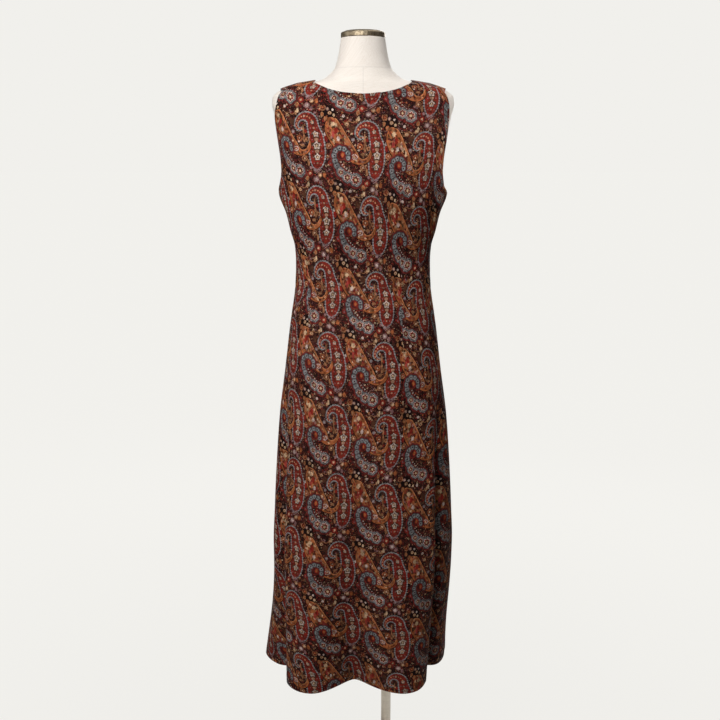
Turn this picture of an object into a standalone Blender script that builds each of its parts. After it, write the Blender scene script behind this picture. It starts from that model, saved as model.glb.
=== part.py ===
"""Sleeveless maxi dress standing on a limbless dress form.

Metres, +Z up. The dress's back faces -Y, its left seam is at -X. The origin is on the floor, at the
centre of the base's underside. The cloth is a closed wall in two panels, which meet at the side and
shoulder seams. Both panels follow one smooth figure, the surface of the form, which runs on below the
form as the mean shape of the skirt. The skirt's folds are added to it.
"""

import math
from bisect import bisect_right

import bpy
from mathutils import Vector

# Heights above the floor
HEM = 0.300
HIP = 1.000
UNDERARM = 1.385
NECKLINE_START = 1.530
SHOULDER_TIP = 1.600
SHOULDER_NECK = 1.6155
NECK_TOP = 1.7065
FORM_BOTTOM = 0.865

# Cloth
CLOTH_THICKNESS = 0.002
CLOTH_EASE = 0.0035          # from the form's surface to the outer face of the cloth
SEAM_GAP = 0.0003
UNDERARM_WING = 0.009        # how far the empty armhole's lowest point stands off
UNDERARM_WING_HEIGHT = 0.028
UNDERARM_WING_ANGLE = 14.0
BUST_HEIGHT = 1.350
BUST_APART = 0.088
BUST_DEPTH = 0.024
BUST_RADIUS = 0.059
BRIDGE_EASE = 0.003          # the cloth bridges the hollow under the bust
BRIDGE_HEIGHT = 1.310
BRIDGE_RADIUS = 0.060

# Form and stand
NECK_LEAN = 0.010            # the neck's top stands this far forward
FORM_TAPER = 0.08            # the form draws in this much from the hip to its bottom
FORM_EDGE = 0.975            # its bottom face, as a share of the ring above it
FORM_SIDES = 36
CAP_RADIUS = 0.047
CAP_HEIGHT = 0.011
CAP_DOME = 0.005
POLE_X = 0.056
POLE_RADIUS = 0.0115
COLLAR_RADIUS = 0.030
COLLAR_HEIGHT = 0.024
BASE_RADIUS = 0.150
BASE_HEIGHT = 0.014
ROUND_SIDES = 32

# The figure: half width to each side, and depth to the dress's back and front
FIGURE = (
    # height, half_width, back, front, square
    (0.300, 0.2090, 0.180, 0.176, 0.02),
    (0.431, 0.2050, 0.172, 0.166, 0.02),
    (0.582, 0.2055, 0.164, 0.155, 0.02),
    (0.676, 0.2005, 0.158, 0.147, 0.02),
    (0.753, 0.1955, 0.152, 0.140, 0.03),
    (0.890, 0.1850, 0.139, 0.128, 0.03),
    (0.985, 0.1725, 0.128, 0.122, 0.03),
    (1.028, 0.1670, 0.121, 0.120, 0.03),
    (1.081, 0.1605, 0.111, 0.116, 0.03),
    (1.126, 0.1540, 0.102, 0.111, 0.03),
    (1.169, 0.1475, 0.094, 0.106, 0.03),
    (1.204, 0.1450, 0.090, 0.103, 0.03),
    (1.240, 0.1440, 0.090, 0.103, 0.03),
    (1.270, 0.1460, 0.094, 0.106, 0.03),
    (1.303, 0.1550, 0.100, 0.112, 0.03),
    (1.335, 0.1620, 0.106, 0.117, 0.03),
    (1.370, 0.1690, 0.111, 0.120, 0.04),
    (1.395, 0.1710, 0.112, 0.118, 0.04),
    (1.425, 0.1720, 0.111, 0.114, 0.05),
    (1.455, 0.1740, 0.108, 0.109, 0.05),
    (1.485, 0.1780, 0.103, 0.104, 0.05),
    (1.517, 0.1830, 0.096, 0.098, 0.04),
    (1.548, 0.1890, 0.088, 0.092, 0.03),
    (1.570, 0.1940, 0.081, 0.087, 0.02),
    (1.584, 0.1925, 0.077, 0.083, 0.01),
    (1.595, 0.1820, 0.073, 0.080, 0.00),
    (1.603, 0.1630, 0.0705, 0.077, 0.00),
    (1.611, 0.1370, 0.0680, 0.074, 0.00),
    (1.6155, 0.1050, 0.0665, 0.072, 0.00),
    (1.622, 0.0840, 0.0640, 0.069, 0.00),
    (1.630, 0.0730, 0.0615, 0.066, 0.00),
    (1.645, 0.0600, 0.0570, 0.060, 0.00),
    (1.671, 0.0525, 0.0510, 0.053, 0.00),
    (1.7065, 0.0465, 0.0465, 0.0465, 0.00),
)

# Fold lines of the skirt, round from the left side seam by way of the back. An angle is 0 at the centre
# back and 90 at the right side seam. A depth is how far the fold stands out from the figure.
FOLDS = (
    # angle at hip, angle at hem, depth at 0.80, at 0.55, at the hem
    (-90, -90, 0.000, -0.002, 0.019),
    (-77, -70, 0.000, -0.002, -0.004),
    (-68, -58, -0.006, -0.020, -0.044),
    (-60, -46, 0.003, 0.010, 0.020),
    (-36, -27, 0.002, 0.014, 0.032),
    (-8, -7, -0.002, -0.020, -0.051),
    (24, 22, 0.002, 0.012, 0.024),
    (52, 41, 0.002, 0.004, -0.001),
    (62, 56, -0.006, -0.028, -0.062),
    (74, 67, 0.000, -0.012, -0.027),
    (90, 90, 0.001, -0.001, -0.017),
    (108, 106, 0.001, -0.004, -0.010),
    (122, 120, -0.003, -0.016, -0.034),
    (138, 138, 0.003, 0.012, 0.022),
    (158, 157, -0.001, -0.010, -0.028),
    (178, 178, 0.003, 0.014, 0.030),
    (200, 200, -0.002, -0.014, -0.036),
    (218, 220, 0.003, 0.012, 0.024),
    (238, 240, -0.003, -0.016, -0.038),
    (254, 255, 0.001, -0.002, -0.004),
)
FOLD_HEIGHTS = (HEM, 0.550, 0.800, HIP)
FOLDS_PER_PANEL = len(FOLDS) // 2
COLUMNS_PER_FOLD = 3

# Where each armhole's edge lies, as an angle on the figure
ARMHOLE = (
    # height, back left, back right, front
    (1.385, 90.0, 90.0, 90.0),
    (1.392, 88.0, 81.0, 82.0),
    (1.404, 86.0, 74.0, 76.0),
    (1.436, 84.5, 70.5, 70.0),
    (1.472, 84.0, 71.0, 67.0),
    (1.500, 83.0, 72.0, 66.0),
    (1.541, 77.0, 69.5, 66.0),
    (1.572, 66.0, 64.5, 65.0),
    (1.590, 65.0, 63.5, 66.0),
    (1.5945, 70.0, 69.0, 71.0),
    (1.598, 79.0, 79.0, 79.5),
    (1.600, 90.0, 90.0, 90.0),
)
ARMHOLE_FROM = 50.0          # columns nearer the middle than this keep their angle

# Height on the figure of the neckline's edge
NECKLINE = (
    # angle from the middle, back, front
    (0.0, 1.5868, 1.5450),
    (12.0, 1.5898, 1.5485),
    (19.0, 1.5940, 1.5560),
    (26.0, 1.5990, 1.5665),
    (35.0, 1.6050, 1.5810),
    (54.0, 1.6130, 1.6050),
    (70.0, 1.6150, 1.6130),
    (90.0, 1.6155, 1.6155),
)

# Rows of the cloth, by their height at the panel's edge
SKIRT_ROWS = (0.300, 0.390, 0.480, 0.570, 0.660, 0.750, 0.840, 0.920, 0.985)
BODICE_ROWS = (1.050, 1.110, 1.160, 1.205, 1.245, 1.285, 1.325, 1.360, 1.385)
ARMHOLE_ROWS = (1.392, 1.404, 1.430, 1.470, 1.510, 1.530)
SHOULDER_ROWS = (1.548, 1.568, 1.582, 1.590, 1.5945, 1.598, 1.600, 1.6065, 1.6115, 1.6155)
FORM_LOW_ROWS = (0.868, 0.900, 0.945, 0.985)
FORM_NECK_ROWS = (1.622, 1.632, 1.648, 1.672, 1.7065)

STEP_ALONG = 0.02            # small steps that give a normal: among the folds, in degrees, up
STEP_ROUND = 0.2
STEP_UP = 0.0004


def slope(before, after):
    """Slope at a point of a curve that never overshoots, from the slopes on both sides."""
    return 0.0 if before * after <= 0 else 2 * before * after / (before + after)


def smooth(xs, ys, x):
    """The value at x on a smooth curve through the points, held level past both ends."""
    x = min(max(x, xs[0]), xs[-1])
    i = min(bisect_right(xs, x), len(xs) - 1) - 1
    last = len(xs) - 2
    rise = [
        (ys[k + 1] - ys[k]) / (xs[k + 1] - xs[k])
        for k in range(max(i - 1, 0), min(i + 1, last) + 1)
    ]
    here = rise[i - max(i - 1, 0)]
    start = slope(rise[0], here) if i > 0 else here
    end = slope(here, rise[-1]) if i < last else here
    width = xs[i + 1] - xs[i]
    t = (x - xs[i]) / width
    return (
        ys[i] * (1 + 2 * t) * (1 - t) ** 2
        + start * width * t * (1 - t) ** 2
        + ys[i + 1] * t * t * (3 - 2 * t)
        - end * width * t * t * (1 - t)
    )


def column(table, number):
    return [row[number] for row in table]


def section(height):
    """Half width, back depth, front depth and squareness of the figure at a height."""
    heights = column(FIGURE, 0)
    return [smooth(heights, column(FIGURE, k), height) for k in range(1, 5)]


def figure_point(angle, height, scale=1.0):
    """A point of the smooth figure. Angle is in degrees: 0 is the centre back, 90 the right side."""
    half_width, back, front, square = section(height)
    across, along = math.sin(math.radians(angle)), math.cos(math.radians(angle))
    depth = back if along > 0 else front
    fuller = 1 + square * 4 * (across * along) ** 2
    x = half_width * across * fuller * scale
    y = -depth * along * fuller * scale
    lean = NECK_LEAN * smooth((SHOULDER_NECK, NECK_TOP), (0, 1), height)
    if along < 0:
        beside = min(abs(x - BUST_APART), abs(x + BUST_APART)) / BUST_RADIUS
        above = (height - BUST_HEIGHT) / BUST_RADIUS
        fade_at_side = min(1, -2 * along)
        y += BUST_DEPTH * math.exp(-(beside**2) - above**2) * fade_at_side
    return Vector((x, y + lean, height))


def round_the_folds(values, place):
    """A smooth closed curve through one value per fold line, read at a place such as 3.4."""
    i = math.floor(place)
    t = place - i
    a, b, c, d = (values[(i + k) % len(values)] for k in (-1, 0, 1, 2))
    return b + 0.5 * t * (c - a + t * (2 * a - 5 * b + 4 * c - d + t * (3 * (b - c) + d - a)))


def fold_angle(place, height):
    """Angle of the column at this place among the fold lines."""
    drift = smooth((HEM, HIP), (1, 0), height)
    offsets = [
        hip + (hem - hip) * drift + 90 - 360 / len(FOLDS) * k
        for k, (hip, hem, *_) in enumerate(FOLDS)
    ]
    return round_the_folds(offsets, place) - 90 + 360 / len(FOLDS) * place


def fold_depth(place, height):
    """How far the cloth stands out from the figure at this place."""
    if height >= HIP:
        return 0.0
    depths = [
        smooth(FOLD_HEIGHTS, (at_hem, lower, upper, 0), height)
        for _, _, upper, lower, at_hem in FOLDS
    ]
    return round_the_folds(depths, place)


def armhole_limits(height, front):
    """Largest angle from the panel's middle on its left and right, seen from the dress's back."""
    if height <= UNDERARM or height >= SHOULDER_TIP:
        return 90.0, 90.0
    heights = column(ARMHOLE, 0)
    columns = (3, 3) if front else (1, 2)
    return tuple(smooth(heights, column(ARMHOLE, k), height) for k in columns)


def panel_angle(place, height, limits, middle):
    """The column's angle from the panel's middle, drawn in to the armhole's edge."""
    angle = fold_angle(place, height) - middle
    limit = limits[0] if angle < 0 else limits[1]
    if abs(angle) <= ARMHOLE_FROM:
        return angle
    share = (abs(angle) - ARMHOLE_FROM) / (90 - ARMHOLE_FROM)
    return math.copysign(ARMHOLE_FROM + share * (limit - ARMHOLE_FROM), angle)


def cloth_point(place, height, limits, middle):
    """A point of the cloth's outer face."""
    angle = middle + panel_angle(place, height, limits, middle)
    base = figure_point(angle, height)
    round_step = figure_point(angle + STEP_ROUND, height) - figure_point(angle - STEP_ROUND, height)
    up_step = figure_point(angle, height + STEP_UP) - figure_point(angle, height - STEP_UP)
    outward = round_step.cross(up_step).normalized()
    from_seam = (90 - abs((angle + 180) % 360 - 180)) / UNDERARM_WING_ANGLE
    above = (height - UNDERARM) / UNDERARM_WING_HEIGHT
    wing = UNDERARM_WING * math.exp(-(from_seam**2) - above**2)
    ahead = max(0.0, -math.cos(math.radians(angle)))
    bridge = BRIDGE_EASE * ahead * math.exp(-(((height - BRIDGE_HEIGHT) / BRIDGE_RADIUS) ** 2))
    radial = Vector((base.x, base.y, 0)).normalized()
    return base + outward * (CLOTH_EASE + wing + bridge) + radial * fold_depth(place, height)


def cloth_normal(place, height, limits, middle):
    def at(along, up):
        return cloth_point(place + along, height + up, limits, middle)

    along = at(STEP_ALONG, 0) - at(-STEP_ALONG, 0)
    up = at(0, STEP_UP) - at(0, -STEP_UP)
    return along.cross(up).normalized()


def panel_faces(front):
    """Outer and inner points of one panel, in rows from the hem up."""
    first = FOLDS_PER_PANEL if front else 0
    middle = 180.0 if front else 0.0
    shift = Vector((0, SEAM_GAP / 2 if front else -SEAM_GAP / 2, 0))
    neck_angles, neck_heights = column(NECKLINE, 0), column(NECKLINE, 2 if front else 1)
    columns = FOLDS_PER_PANEL * COLUMNS_PER_FOLD
    outer, inner = [], []
    for row in SKIRT_ROWS + BODICE_ROWS + ARMHOLE_ROWS + SHOULDER_ROWS:
        limits = armhole_limits(row, front)
        share = max(0.0, row - NECKLINE_START) / (SHOULDER_NECK - NECKLINE_START)
        outer.append([])
        inner.append([])
        for number in range(columns + 1):
            place = first + number / COLUMNS_PER_FOLD
            from_middle = abs(fold_angle(place, row) - middle)
            top = smooth(neck_angles, neck_heights, from_middle)
            height = row if share == 0 else NECKLINE_START + share * (top - NECKLINE_START)
            point = cloth_point(place, height, limits, middle)
            normal = cloth_normal(place, height, limits, middle)
            if number in (0, columns) and limits == (90.0, 90.0):
                point.y = 0
                normal.y = 0
                normal.normalize()
            outer[-1].append(point + shift)
            inner[-1].append(point + shift - normal * CLOTH_THICKNESS)
    return outer, inner


def material(name, colour, roughness, metallic=0.0):
    made = bpy.data.materials.new(name)
    made.use_nodes = True
    shader = made.node_tree.nodes["Principled BSDF"]
    shader.inputs["Base Color"].default_value = (*colour, 1)
    shader.inputs["Roughness"].default_value = roughness
    shader.inputs["Metallic"].default_value = metallic
    return made


def mesh_object(name, points, faces, finish):
    mesh = bpy.data.meshes.new(name)
    mesh.from_pydata(points, [], faces)
    mesh.validate()
    mesh.shade_smooth()
    mesh.set_sharp_from_angle(angle=math.radians(40))
    mesh.materials.append(finish)
    made = bpy.data.objects.new(name, mesh)
    bpy.context.scene.collection.objects.link(made)
    return made


def walled_object(name, outer, inner, finish):
    """A closed wall between two grids of points with the same rows and columns."""
    rows, columns = len(outer), len(outer[0])
    points = [point for grid in (outer, inner) for row in grid for point in row]
    inside = rows * columns

    def at(row, col):
        return row * columns + col

    faces = []
    for r in range(rows - 1):
        for c in range(columns - 1):
            face = [at(r, c), at(r, c + 1), at(r + 1, c + 1), at(r + 1, c)]
            faces.append(face)
            faces.append([inside + corner for corner in reversed(face)])
    rim = (
        [at(0, c) for c in range(columns)]
        + [at(r, columns - 1) for r in range(1, rows)]
        + [at(rows - 1, c) for c in range(columns - 2, -1, -1)]
        + [at(r, 0) for r in range(rows - 2, 0, -1)]
    )
    for here, after in zip(rim, rim[1:] + rim[:1]):
        faces.append([after, here, inside + here, inside + after])
    return mesh_object(name, points, faces, finish)


def ringed_object(name, rings, finish):
    """A closed solid through rings of points from the bottom up, each ring counter-clockwise."""
    sides = len(rings[0])
    points = [point for ring in rings for point in ring]
    faces = [list(reversed(range(sides)))]
    for r in range(len(rings) - 1):
        low, high = r * sides, (r + 1) * sides
        for k in range(sides):
            after = (k + 1) % sides
            faces.append([low + k, low + after, high + after, high + k])
    faces.append([(len(rings) - 1) * sides + k for k in range(sides)])
    return mesh_object(name, points, faces, finish)


def turned_object(name, profile, centre, finish):
    """A closed turned solid. The profile is (radius, height) from the bottom up."""
    turns = [2 * math.pi * k / ROUND_SIDES for k in range(ROUND_SIDES)]
    rings = [
        [
            Vector((centre[0] + radius * math.cos(turn), centre[1] + radius * math.sin(turn), height))
            for turn in turns
        ]
        for radius, height in profile
    ]
    return ringed_object(name, rings, finish)


def rounded(radius, low, high, bottom_round, top_round):
    """Profile of a disc with a quarter round at its lower and upper edge."""
    quarter = [math.pi / 6 * k for k in range(4)]
    return [
        (radius - bottom_round * (1 - math.sin(turn)), low + bottom_round * (1 - math.cos(turn)))
        for turn in quarter
    ] + [
        (radius - top_round * (1 - math.cos(turn)), high - top_round * (1 - math.sin(turn)))
        for turn in quarter
    ]


def make_dress():
    cloth = material("dress_cloth", (0.16, 0.07, 0.05), 0.75)
    for name, front in (("dress_back", False), ("dress_front", True)):
        outer, inner = panel_faces(front)
        walled_object(name, outer, inner, cloth)


def make_form():
    linen = material("form_cover", (0.72, 0.66, 0.55), 0.9)
    rows = FORM_LOW_ROWS + BODICE_ROWS + ARMHOLE_ROWS + SHOULDER_ROWS + FORM_NECK_ROWS
    angles = [360 / FORM_SIDES * k - 180 for k in range(FORM_SIDES)]
    rings = []
    for row in rows:
        low = max(0.0, HIP - row) / (HIP - FORM_BOTTOM)
        scale = 1 - FORM_TAPER * low * low
        rings.append([])
        for angle in angles:
            point = figure_point(angle, max(row, HIP), scale)
            rings[-1].append(Vector((point.x, point.y, row)))
    underside = [Vector((p.x * FORM_EDGE, p.y * FORM_EDGE, FORM_BOTTOM)) for p in rings[0]]
    ringed_object("form_torso", [underside] + rings, linen)


def make_cap():
    brass = material("cap_brass", (0.42, 0.33, 0.20), 0.38, 1.0)
    low = NECK_TOP + SEAM_GAP
    edge = rounded(CAP_RADIUS, low, low + CAP_HEIGHT, 0.001, 0.003)
    crown = [
        (edge[-1][0] * math.cos(turn), low + CAP_HEIGHT + CAP_DOME * math.sin(turn))
        for turn in (math.radians(30), math.radians(60))
    ]
    turned_object("form_neck_cap", edge + crown, (0, NECK_LEAN), brass)


def make_stand():
    steel = material("stand_metal", (0.50, 0.47, 0.43), 0.42, 1.0)
    turned_object("stand_base", rounded(BASE_RADIUS, 0, BASE_HEIGHT, 0.001, 0.005), (0, 0), steel)
    collar_low = BASE_HEIGHT + SEAM_GAP
    collar_high = collar_low + COLLAR_HEIGHT
    turned_object(
        "stand_collar",
        rounded(COLLAR_RADIUS, collar_low, collar_high, 0.001, 0.012),
        (POLE_X, 0),
        steel,
    )
    pole = [(POLE_RADIUS, collar_high + SEAM_GAP), (POLE_RADIUS, FORM_BOTTOM - SEAM_GAP)]
    turned_object("stand_pole", pole, (POLE_X, 0), steel)


def main():
    for old in list(bpy.data.objects):
        bpy.data.objects.remove(old, do_unlink=True)
    make_dress()
    make_form()
    make_cap()
    make_stand()


main()
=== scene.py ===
"""Looks of the sleeveless paisley maxi dress on its limbless dress form.

Metres, +Z up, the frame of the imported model. The dress's back faces -Y. The cloth, the linen cover and
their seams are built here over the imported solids, and every material is made of nodes.
"""

import math

import bpy
import numpy as np
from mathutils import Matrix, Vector


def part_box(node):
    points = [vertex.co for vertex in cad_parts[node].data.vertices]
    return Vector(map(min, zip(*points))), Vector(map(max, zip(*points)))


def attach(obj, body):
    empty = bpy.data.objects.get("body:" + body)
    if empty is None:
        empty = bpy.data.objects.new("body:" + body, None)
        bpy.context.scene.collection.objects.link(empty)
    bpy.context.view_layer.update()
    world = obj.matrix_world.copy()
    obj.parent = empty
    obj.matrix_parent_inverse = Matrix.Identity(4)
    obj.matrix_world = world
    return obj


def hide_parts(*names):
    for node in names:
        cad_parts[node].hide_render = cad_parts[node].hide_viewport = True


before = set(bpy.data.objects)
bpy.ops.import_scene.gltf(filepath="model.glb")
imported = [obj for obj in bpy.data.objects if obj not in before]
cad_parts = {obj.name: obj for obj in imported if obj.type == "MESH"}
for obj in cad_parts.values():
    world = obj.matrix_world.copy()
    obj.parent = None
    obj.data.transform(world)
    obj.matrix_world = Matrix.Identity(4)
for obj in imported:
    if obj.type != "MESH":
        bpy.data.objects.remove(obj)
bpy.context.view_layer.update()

# ---------------- sizes, the same as the solids have
HEM = 0.300
HIP = 1.000
UNDERARM = 1.385
NECKLINE_START = 1.530
SHOULDER_TIP = 1.600
SHOULDER_NECK = 1.6155
NECK_TOP = 1.7065
FORM_BOTTOM = 0.865

CLOTH_EASE = 0.0035
SEAM_GAP = 0.0003
UNDERARM_WING = 0.009
UNDERARM_WING_HEIGHT = 0.028
UNDERARM_WING_ANGLE = 14.0
BUST_HEIGHT = 1.350
BUST_APART = 0.088
BUST_DEPTH = 0.024
BUST_RADIUS = 0.059
BRIDGE_EASE = 0.003
BRIDGE_HEIGHT = 1.310
BRIDGE_RADIUS = 0.060
NECK_LEAN = 0.010
FORM_TAPER = 0.08
FORM_EDGE = 0.975
POLE_X = 0.056

FIGURE = (
    # height, half_width, back, front, square
    (0.3, 0.209, 0.18, 0.176, 0.02),
    (0.431, 0.205, 0.172, 0.166, 0.02),
    (0.582, 0.2055, 0.164, 0.155, 0.02),
    (0.676, 0.2005, 0.158, 0.147, 0.02),
    (0.753, 0.1955, 0.152, 0.14, 0.03),
    (0.89, 0.185, 0.139, 0.128, 0.03),
    (0.985, 0.1725, 0.128, 0.122, 0.03),
    (1.028, 0.167, 0.121, 0.12, 0.03),
    (1.081, 0.1605, 0.111, 0.116, 0.03),
    (1.126, 0.154, 0.102, 0.111, 0.03),
    (1.169, 0.1475, 0.094, 0.106, 0.03),
    (1.204, 0.145, 0.09, 0.103, 0.03),
    (1.24, 0.144, 0.09, 0.103, 0.03),
    (1.27, 0.146, 0.094, 0.106, 0.03),
    (1.303, 0.155, 0.1, 0.112, 0.03),
    (1.335, 0.162, 0.106, 0.117, 0.03),
    (1.37, 0.169, 0.111, 0.12, 0.04),
    (1.395, 0.171, 0.112, 0.118, 0.04),
    (1.425, 0.172, 0.111, 0.114, 0.05),
    (1.455, 0.174, 0.108, 0.109, 0.05),
    (1.485, 0.178, 0.103, 0.104, 0.05),
    (1.517, 0.183, 0.096, 0.098, 0.04),
    (1.548, 0.189, 0.088, 0.092, 0.03),
    (1.57, 0.194, 0.081, 0.087, 0.02),
    (1.584, 0.1925, 0.077, 0.083, 0.01),
    (1.595, 0.182, 0.073, 0.08, 0),
    (1.603, 0.163, 0.0705, 0.077, 0),
    (1.611, 0.137, 0.068, 0.074, 0),
    (1.6155, 0.105, 0.0665, 0.072, 0),
    (1.622, 0.084, 0.064, 0.069, 0),
    (1.63, 0.073, 0.0615, 0.066, 0),
    (1.645, 0.06, 0.057, 0.06, 0),
    (1.671, 0.0525, 0.051, 0.053, 0),
    (1.7065, 0.0465, 0.0465, 0.0465, 0),
)
FOLDS = (
    # angle at hip, angle at hem, depth at 0.80, at 0.55, at the hem
    (-90, -90, 0, -0.002, 0.019),
    (-77, -70, 0, -0.002, -0.004),
    (-68, -58, -0.006, -0.02, -0.044),
    (-60, -46, 0.003, 0.01, 0.02),
    (-36, -27, 0.002, 0.014, 0.032),
    (-8, -7, -0.002, -0.02, -0.051),
    (24, 22, 0.002, 0.012, 0.024),
    (52, 41, 0.002, 0.004, -0.001),
    (62, 56, -0.006, -0.028, -0.062),
    (74, 67, 0, -0.012, -0.027),
    (90, 90, 0.001, -0.001, -0.017),
    (108, 106, 0.001, -0.004, -0.01),
    (122, 120, -0.003, -0.016, -0.034),
    (138, 138, 0.003, 0.012, 0.022),
    (158, 157, -0.001, -0.01, -0.028),
    (178, 178, 0.003, 0.014, 0.03),
    (200, 200, -0.002, -0.014, -0.036),
    (218, 220, 0.003, 0.012, 0.024),
    (238, 240, -0.003, -0.016, -0.038),
    (254, 255, 0.001, -0.002, -0.004),
)
FOLD_HEIGHTS = (HEM, 0.550, 0.800, HIP)
FOLDS_PER_PANEL = len(FOLDS) // 2
ARMHOLE = (
    # height, back left, back right, front
    (1.385, 90, 90, 90),
    (1.392, 88, 81, 82),
    (1.404, 86, 74, 76),
    (1.436, 84.5, 70.5, 70),
    (1.472, 84, 71, 67),
    (1.5, 83, 72, 66),
    (1.541, 77, 69.5, 66),
    (1.572, 66, 64.5, 65),
    (1.59, 65, 63.5, 66),
    (1.5945, 70, 69, 71),
    (1.598, 79, 79, 79.5),
    (1.6, 90, 90, 90),
)
ARMHOLE_FROM = 50.0
NECKLINE = (
    # angle from the middle, back, front
    (0, 1.5868, 1.545),
    (12, 1.5898, 1.5485),
    (19, 1.594, 1.556),
    (26, 1.599, 1.5665),
    (35, 1.605, 1.581),
    (54, 1.613, 1.605),
    (70, 1.615, 1.613),
    (90, 1.6155, 1.6155),
)

# ---------------- the cloth as it is shown
SHOWN_THICKNESS = 0.0012
COLUMNS = 200  # of each panel, from seam to seam
ROW_STEP = 0.0055  # largest height of a row of faces
SEAM_COLUMNS = 20  # beside each side seam, where no dart runs
MIDDLE_COLUMNS = 40  # each way from the middle one, among which the panel's centre runs
# Heights at which rows of the panels' faces start, three of them where the armhole turns at its top
ROW_MARKS = (HEM, HIP, UNDERARM, NECKLINE_START, 1.572, 1.590, 1.598, SHOULDER_TIP, SHOULDER_NECK)
COVER_SIDES = 180
COVER_MARKS = (0.868, NECKLINE_START, SHOULDER_NECK, NECK_TOP - 0.0015)  # heights in the linen cover
COVER_STEPS = (100, 34, 39)  # rows of its faces from each height to the next
COVER_TURN = 0.985  # share of its size where its lower edge turns under, and how far down that is
COVER_TURN_DOWN = 0.0022
COVER_TOP = 0.975  # share of its size at its top edge, and how far up that is
COVER_TOP_UP = 0.0013
SHARP_ANGLE = 55.0  # between faces, above which an edge is drawn sharp
SEAM_DEPTH = 0.0003  # of the linen cover's seams
SEAM_WIDTH = 0.0012
NECK_SEAM = 1.643
WAIST = 1.220

# Sewn darts: the line that each follows up the panel, and how much cloth each takes in at its widest
DARTS = {
    # lower end, widest, upper end, x there, x at the widest, x at the upper end, width taken in
    "back": (
        (1.045, 1.19, 1.335, -0.116, -0.119, -0.119, 0.032),
        (1.03, 1.15, 1.265, 0.088, 0.083, 0.08, 0.03),
    ),
    "front": (
        (1.06, 1.2, 1.3, -0.088, -0.084, -0.086, 0.026),
        (1.06, 1.2, 1.3, 0.088, 0.084, 0.086, 0.026),
    ),
}
DART_GROOVE = 0.0011
DART_WIDTH = 0.0024
DART_SWELL = 0.0006
DART_SWELL_WIDTH = 0.009
DART_FULL_DEPTH = 0.010  # cloth taken in where a dart's groove reaches its full depth
DART_PULL = 11  # columns beside a dart that are moved to follow its line
DART_PINCH = 4  # columns beside it that are drawn closer together, and how much closer
DART_CLOSER = 0.62
DART_EASE_BELOW = 0.12  # height over which those moves start below a dart and end above it
DART_EASE_ABOVE = 0.10

# Where the print's rows and columns fall on the back, read down its centre from the waist:
# distance up the cloth, the print's own height there, how far right the centre column stands, and how
# much closer together its columns are than on flat cloth, to the left and to the right
PRINT_RUN = (
    (-0.95, -1.294, 0.0915, 1.07, 1.08),
    (-0.8825, -1.216, 0.0839, 1.07, 1.08),
    (-0.7507, -1.064, 0.0686, 1.07, 1.08),
    (-0.6079, -0.912, 0.0584, 1.1, 1.08),
    (-0.454, -0.76, 0.0437, 1.22, 1.08),
    (-0.3055, -0.608, 0.0465, 1.17, 1.06),
    (-0.1499, -0.456, 0.041, 1.06, 1.17),
    (0, -0.304, 0.024, 1.12, 1.2),
    (0.1611, -0.152, 0.0141, 1.1, 1.21),
    (0.3144, 0, 0.0047, 0.98, 1.02),
    (0.41, 0.0948, 0, 0.98, 1),
    (0.6, 0.2832, 0, 0.98, 1),
)

FRONT_CLOSER = 1.05
FRONT_PRINT_UP = -0.264

# Soft creases. Each is a straight trough, or a ridge where its depth is below 0
CREASES = {
    # angle and height of one end, angle and height of the other, depth, half width
    "back": (
        (30, 1.12, 34, 0.86, 0.005, 0.01),
        (23, 1.08, 26, 0.88, -0.002, 0.012),
        (61, 0.88, 55.5, 0.305, 0.014, 0.016),
        (47, 0.86, 43, 0.305, -0.004, 0.012),
        (-63, 0.88, -55.5, 0.305, 0.015, 0.012),
        (-50, 0.86, -46, 0.305, -0.003, 0.012),
        (12.5, 1.59, 15, 1.545, 0.0018, 0.005),
        (8.8, 1.59, 11.6, 1.548, -0.0042, 0.006),
        (16.6, 1.59, 18.8, 1.552, -0.0034, 0.006),
        (58, 1.43, 62, 1.33, 0.003, 0.009),
        (72, 1.42, 66, 1.3, -0.002, 0.01),
        (-62, 1.4, -58, 1.3, 0.002, 0.01),
        (-40, 1.06, -36, 0.93, 0.0022, 0.013),
        (-58, 1.24, -86, 1.215, 0.0014, 0.007),
        (56, 1.235, 86, 1.205, 0.0014, 0.007),
        (60, 1.195, 88, 1.175, 0.001, 0.006),
        (-60, 1.195, -88, 1.18, 0.001, 0.006),
    ),
    "front": (
        (150, 1.07, 148, 0.89, 0.003, 0.012),
        (212, 1.07, 214, 0.9, 0.0028, 0.012),
        (118, 1.4, 132, 1.33, 0.0022, 0.008),
        (242, 1.4, 228, 1.33, 0.0022, 0.008),
        (94, 1.24, 122, 1.215, 0.0014, 0.007),
        (266, 1.24, 238, 1.215, 0.0014, 0.007),
        (92, 1.195, 118, 1.18, 0.001, 0.006),
        (268, 1.195, 242, 1.18, 0.001, 0.006),
        (172, 1.3, 168, 1.18, 0.0012, 0.01),
    ),
}
CREASE_RADIUS = 0.155  # at which their angles are turned into distances
FORM_CLEARANCE = 0.0018  # how far the cloth may sink towards the form where it lies on it
FREE_BELOW_HIP = 0.5  # how fast that grows with the square of the distance below the hip
CREASE_EVEN = 0.28  # share of a crease's length, each way from its middle, with its full depth
CREASE_FADE = 0.20  # share of its length over which it then fades out
HEM_DEPTH = 0.020  # of the turned hem
EDGE_DEPTH = 0.0075  # of the turned edges of neck and armholes
TURNED_RISE = 0.0003  # how far doubled cloth stands proud, and over what distance that starts
TURNED_STEP = 0.0016
STITCH_INSET = 0.0015
SIDE_SEAM_DEPTH = 0.0009
SIDE_SEAM_WIDTH = 0.0035


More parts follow.
